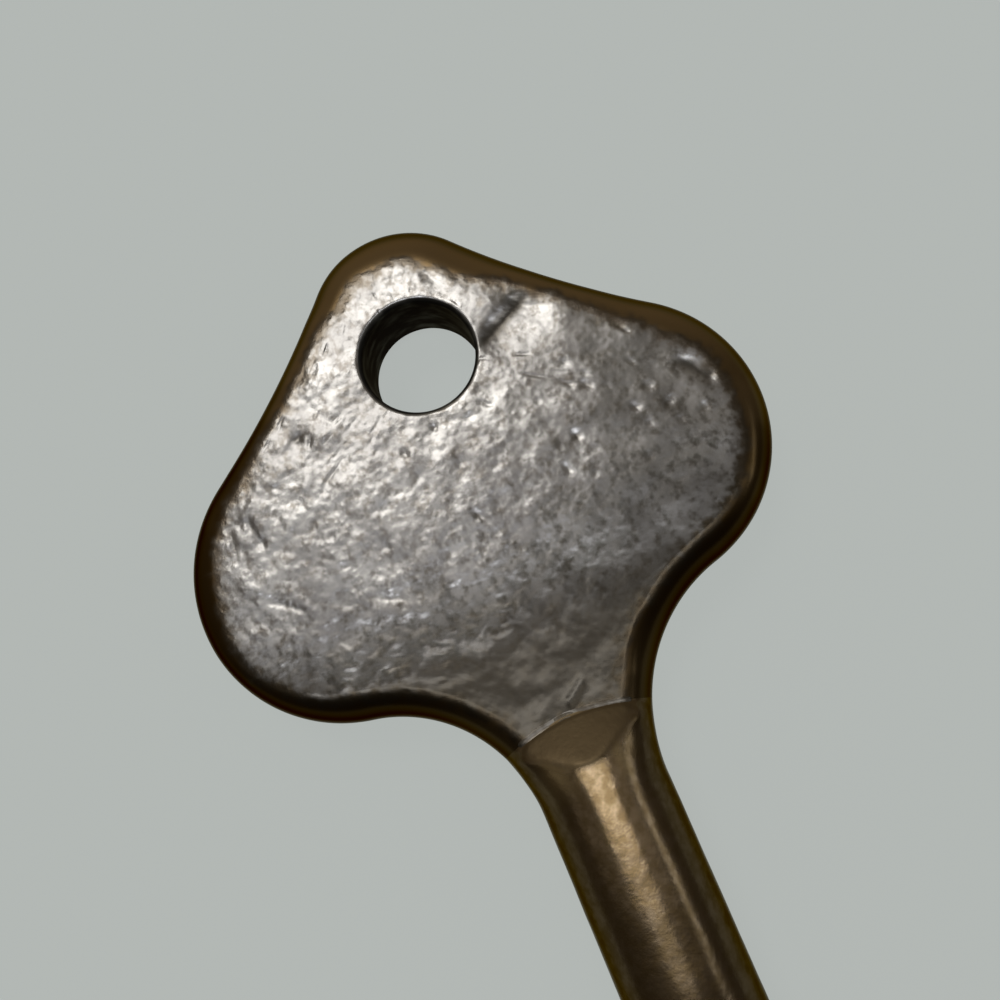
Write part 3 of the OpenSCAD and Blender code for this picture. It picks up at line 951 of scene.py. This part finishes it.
# %% Where the bow's finishes meet
cast_bow, tree, place = new_finish("cast_bow")
fine = grain(tree, place, 2.0, 4, 0.6)
broad = grain(tree, place, 0.35, 2)
cell_inputs = {"Vector": place, "Scale": 2.6, "Smoothness": 0.8}
cells = add(tree, "ShaderNodeTexVoronoi", cell_inputs, feature="SMOOTH_F1")
apart = add(tree, "ShaderNodeSeparateXYZ", {0: place})
along_key, across_key = apart.outputs[0], apart.outputs[1]
bordered = sum_of(tree, kept(tree, "skin"), share(tree, fine, 0.25, 0.75, -0.2, 0.2))
skin_share = share(tree, bordered, 0.15, 0.75)
wall_share = share(tree, kept(tree, "wall"), 0.01, 0.16)
neck_share = share(tree, along_key, *TO_NECK_SKIN)
border_share = share(tree, along_key, *TO_NECK_BORDER)

# %% Worn cast skin, with painted shade
skin_tone = mixed(tree, share(tree, broad, 0.4, 0.6), PEWTER, PEWTER_DARK)
skin_tone = mixed(tree, share(tree, fine, 0.25, 0.55), PIT_GREY, skin_tone)
skin_tone = mixed(tree, neck_share, skin_tone, NECK_BROWN)
# Painted shade: the skin is painted darker along its edge, where it rolls over, and browner towards the neck
border = mixed(tree, border_share, BORDER_GREY_SHADE, BORDER_BROWN_SHADE)
skin_tone = mixed(tree, share(tree, bordered, 0.45, 1.1), border, skin_tone)
# Painted shade in the groove, and darker pits and nicks
skin_tone = mixed(tree, share(tree, kept(tree, "soiled"), 0.1, 0.9), skin_tone, MARK_DARK)

# %% [markdown]
# The dressed band is painted from a lit gold to a shaded dark brown towards the neck and away from the
# bit side: painted light and shade. Along its inner edge, where it meets the skin, it is painted darker
# still, a painted shade. Drawn out stains run round the wall of the hole.

# %% Dressed band and wall of the hole
# Painted light and shade: how far a point lies from the band's lit gold side towards its shaded side
down = sum_of(tree, along_key, sum_of(tree, across_key, -0.45, "MULTIPLY"))
down = sum_of(tree, down, share(tree, broad, 0.3, 0.7, -2, 2))
rim_colour = mixed(tree, share(tree, down, -1, 10), RIM_LIT_GOLD, RIM_SHADED_BROWN)
rim_colour = mixed(tree, share(tree, along_key, *TO_NECK_RIM), rim_colour, NECK_RIM)
streaks = share(tree, grain(tree, place, 0.5, 3, 0.6, (1, 1, 2.5)), 0.42, 0.72)
# The near black of the wall is dark patina with painted shade of the hole
wall_colour = mixed(tree, streaks, WALL_BLACK, WALL_GREY)
# Painted shade along the band's inner edge, where it meets the skin, darker towards the neck
shade = mixed(tree, border_share, RIM_SHADE, NECK_SHADE)
rim_colour = mixed(tree, share(tree, kept(tree, "skin"), 0.0, 0.3), rim_colour, shade)
colour = mixed(tree, wall_share, mixed(tree, skin_share, rim_colour, skin_tone), wall_colour)

# %% [markdown]
# The lumps are in the mesh. Two finer grains, too small for it, are bump alone: a pebbling of 0.02 mm
# and a fine grain of 0.004 mm, both fainter towards the neck and the bit side.

# %% Fine relief of the bow
roughness = sum_of(tree, share(tree, skin_share, 0, 1, 0.26, 0.27), share(tree, wall_share, 0, 1, 0, 0.4))
rough_share = sum_of(tree, skin_share, share(tree, neck_share, 0, 1, 1, 0.4), "MULTIPLY")
rough_share = sum_of(tree, rough_share, share(tree, across_key, -1.0, 9.0, 1, 0.45), "MULTIPLY")
small_grain = sum_of(tree, grain(tree, place, 5.0, 3, 0.6), rough_share, "MULTIPLY")
pebbled = sum_of(tree, sum_of(tree, 1.0, cells.outputs["Distance"], "SUBTRACT"), rough_share, "MULTIPLY")
relief = raised(tree, pebbled, 0.020, raised(tree, small_grain, 0.004))
set_metal(tree, colour, roughness, relief)
bow_piece.data.materials.append(cast_bow)
print(f"{cast_bow.name}: {len(tree.nodes)} nodes")

# %% [markdown]
# ## The smooth brown metal
#
# The shank was turned and then handled for years. Its brown is even, and where it catches the light it
# shines gold and slightly mottled. The ramp kept the file's matt surface, so it mirrors less, and it is
# painted darker, a painted shade; the metal beside it is painted paler, a painted sheen. The bit has the
# same metal with fine file marks, brighter on its rubbed edges. The brazing metal is greyer and a little
# matt.

# %% Finish of the shank
BRONZE_DARK, BRONZE_PALE = (0.071, 0.049, 0.024), (0.096, 0.070, 0.042)
SHEEN_BESIDE_RAMP, RAMP_SHADE = (0.135, 0.099, 0.050), (0.049, 0.036, 0.020)

turned_bronze, tree, place = new_finish("turned_bronze")
mottle = grain(tree, place, 1.8, 4, 0.6)
colour = mixed(tree, share(tree, mottle, 0.35, 0.68), BRONZE_DARK, BRONZE_PALE)
# Painted sheen beside the ramp
colour = mixed(tree, kept(tree, "sheen_beside_ramp"), colour, SHEEN_BESIDE_RAMP)
# Painted shade: the ramp is painted darker
colour = mixed(tree, kept(tree, "on_ramp"), colour, RAMP_SHADE)
micro = raised(tree, grain(tree, place, 2.6, 4, 0.6), 0.010)
matt_share = share(tree, kept(tree, "matt"), 0, 1, 0, 0.18)
roughness = sum_of(tree, share(tree, mottle, 0.3, 0.7, 0.25, 0.19), matt_share)
set_metal(tree, colour, roughness, micro)
shank_piece.data.materials.append(turned_bronze)
print(f"{turned_bronze.name}: {len(tree.nodes)} nodes")

# %% Finish of the bit
FILED_DARK, FILED_PALE, RUBBED_GOLD = (0.060, 0.044, 0.021), (0.095, 0.070, 0.038), (0.24, 0.18, 0.10)
FILED_ROUGHNESS = 0.32

filed_bit, tree, place = new_finish("filed_bit")
marks = grain(tree, place, 1.0, 3, 0.6, (0.5, 7, 3))
edge = share(tree, sum_of(tree, kept(tree, "rubbed"), grain(tree, place, 1.5, 3), "MULTIPLY"), 0.25, 0.6)
colour = mixed(tree, edge, mixed(tree, marks, FILED_DARK, FILED_PALE), RUBBED_GOLD)
set_metal(tree, colour, FILED_ROUGHNESS, raised(tree, marks, 0.012))
bit_piece.data.materials.append(filed_bit)
print(f"{filed_bit.name}: {len(tree.nodes)} nodes")

# %% Finish of the brazing metal
BRAZE_DARK, BRAZE_PALE = (0.045, 0.039, 0.031), (0.080, 0.073, 0.063)
BRAZE_ROUGHNESS = 0.36

brazing, tree, place = new_finish("brazing")
mottle = grain(tree, place, 2.0, 2, 0.5)
colour = mixed(tree, share(tree, mottle, 0.4, 0.65), BRAZE_DARK, BRAZE_PALE)
set_metal(tree, colour, BRAZE_ROUGHNESS, raised(tree, mottle, 0.004))
bow_braze_piece.data.materials.append(brazing)
bit_braze_piece.data.materials.append(brazing)
print(f"{brazing.name}: {len(tree.nodes)} nodes")

# %% [markdown]
# ## Floor and light
#
# The key lies on a pale grey sheet. In the photograph the sheet is lit so evenly that it shows next to no
# shadow, so most of its brightness is its own and only a small share answers to the lights.

# %% Floor
SHEET = (0.434, 0.462, 0.445)
SHEET_OWN, SHEET_LIT, SHEET_GREY = 0.955, 0.04, 0.45
SHEET_REACH = 2
SHEET_GAP = 0.03

floor = bpy.data.objects.new("floor", bpy.data.meshes.new("floor"))
sheet_z = (shank_low[2] - SHEET_GAP) * MM
ways = [(-1, -1), (1, -1), (1, 1), (-1, 1)]
corners = [(sx * SHEET_REACH, sy * SHEET_REACH, sheet_z) for sx, sy in ways]
floor.data.from_pydata(corners, [], [(0, 1, 2, 3)])
bpy.context.scene.collection.objects.link(floor)
sheet = bpy.data.materials.new("sheet")
sheet.use_nodes = True
shader = sheet.node_tree.nodes["Principled BSDF"]
shader.inputs["Base Color"].default_value = [c * SHEET_LIT / SHEET_GREY for c in SHEET] + [1]
shader.inputs["Emission Color"].default_value = (*SHEET, 1)
shader.inputs["Emission Strength"].default_value = SHEET_OWN
shader.inputs["Roughness"].default_value = 1
shader.inputs["Specular IOR Level"].default_value = 0
floor.data.materials.append(sheet)
print(f"sheet at {sheet_z / MM:.2f} mm")

# %% [markdown]
# The room is warm and dim, and brighter behind the ring hole, which is what the filed band and the
# ramp mirror. Its brightness is a fixed number to the power of how far a direction points that way.

# %% Room
ROOM_LEVEL, ROOM_BASE = 0.24, 3.2
ROOM_WARM = (1.0, 0.88, 0.70)

world = bpy.data.worlds.new("room")
bpy.context.scene.world = world
world.use_nodes = True
tree = world.node_tree
sky_way = add(tree, "ShaderNodeTexCoord", {}).outputs["Generated"]
toward_x = add(tree, "ShaderNodeSeparateXYZ", {0: sky_way}).outputs[0]
room = sum_of(tree, ROOM_BASE, sum_of(tree, toward_x, -1.0, "MULTIPLY"), "POWER")
walls = add(tree, "ShaderNodeVectorMath", {0: ROOM_WARM, "Scale": room}, operation="SCALE").outputs[0]
tree.links.new(walls, tree.nodes["Background"].inputs["Color"])
tree.nodes["Background"].inputs["Strength"].default_value = ROOM_LEVEL
print(f"room: brightness {ROOM_LEVEL / ROOM_BASE:.2f} to {ROOM_LEVEL * ROOM_BASE:.2f}")

# %% [markdown]
# Bare metal shows what it mirrors, so the lights are soft boxes, each placed by the direction in which
# it stands seen from the key. A large one over the ring hole makes the bright end of the bow, three
# small dim ones give the rest of the face its patches, a long one over the shank makes its cream
# highlight, and one beyond the bit side draws the thin second line. Three faint ones fill in the
# metal between and beside these.

# %% Lights
LIGHT_AT = 0.5
LIGHTS_AIM = np.array([0.012, 0, 0])
WARM, NEUTRAL, COOL, COLD = (1, 0.975, 0.93), (1, 0.99, 0.98), (0.97, 1, 1.06), (0.94, 1, 1.08)


def soft_box(name, way, span, brightness, tint=(1, 1, 1)):
    """A soft light seen from the key: its way and its span are angles towards +X and +Y, in degrees."""
    lamp = bpy.data.lights.new(name, "AREA")
    lamp.shape = "RECTANGLE"
    lamp.size, lamp.size_y = (2 * LIGHT_AT * math.tan(math.radians(s / 2)) for s in span)
    lamp.energy = brightness * math.pi * lamp.size * lamp.size_y
    lamp.color = tint
    box = bpy.data.objects.new(name, lamp)
    ax, ay = (math.radians(a) for a in way)
    toward = np.array([math.tan(ax), math.tan(ay), 1])
    toward *= LIGHT_AT / np.linalg.norm(toward)
    box.location = toward + LIGHTS_AIM
    lean = -math.atan2(toward[1], math.hypot(toward[0], toward[2]))
    box.rotation_euler = (lean, math.atan2(toward[0], toward[2]), 0)
    box.visible_camera = False
    bpy.context.scene.collection.objects.link(box)


soft_box("over_bow", (-26.5, -7.5), (16, 22), 8.6, WARM)
soft_box("over_middle", (-14, -11), (9, 16), 0.8)
soft_box("over_face", (-6.5, -6), (6, 9), 2.4, NEUTRAL)
soft_box("over_lobe", (-11, -22), (6, 8), 2.6)
soft_box("over_shank", (9.2, -3), (6.8, 40), 11.6, COOL)
soft_box("past_shank", (18, -1), (7, 24), 1.8, COOL)
soft_box("between_strips", (14, 32), (12, 22), 0.9)
soft_box("beside_shank", (16, -44), (8, 36), 0.5)
soft_box("beyond_bit", (21, 54), (18, 9), 3.1, COLD)
print("lights:", sorted(lamp.name for lamp in bpy.data.lights))

# %% [markdown]
# ## Pieces on the body
#
# Each piece rides on the one body, and the solid that it stands for is hidden. The table also gives the
# finish that each piece already has.

for piece, node, finish in [
    (bow_piece, "bow", "cast_bow"),
    (shank_piece, "shank", "turned_bronze"),
    (bit_piece, "bit", "filed_bit"),
    (bow_braze_piece, "bow_braze", "brazing"),
    (bit_braze_piece, "bit_braze", "brazing"),
]:
    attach(piece, "root")
    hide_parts(node)

# %% [markdown]
# Colours are shown as they are written, with no film look laid over them.

# %% Look of the picture
bpy.context.scene.view_settings.view_transform = "Standard"
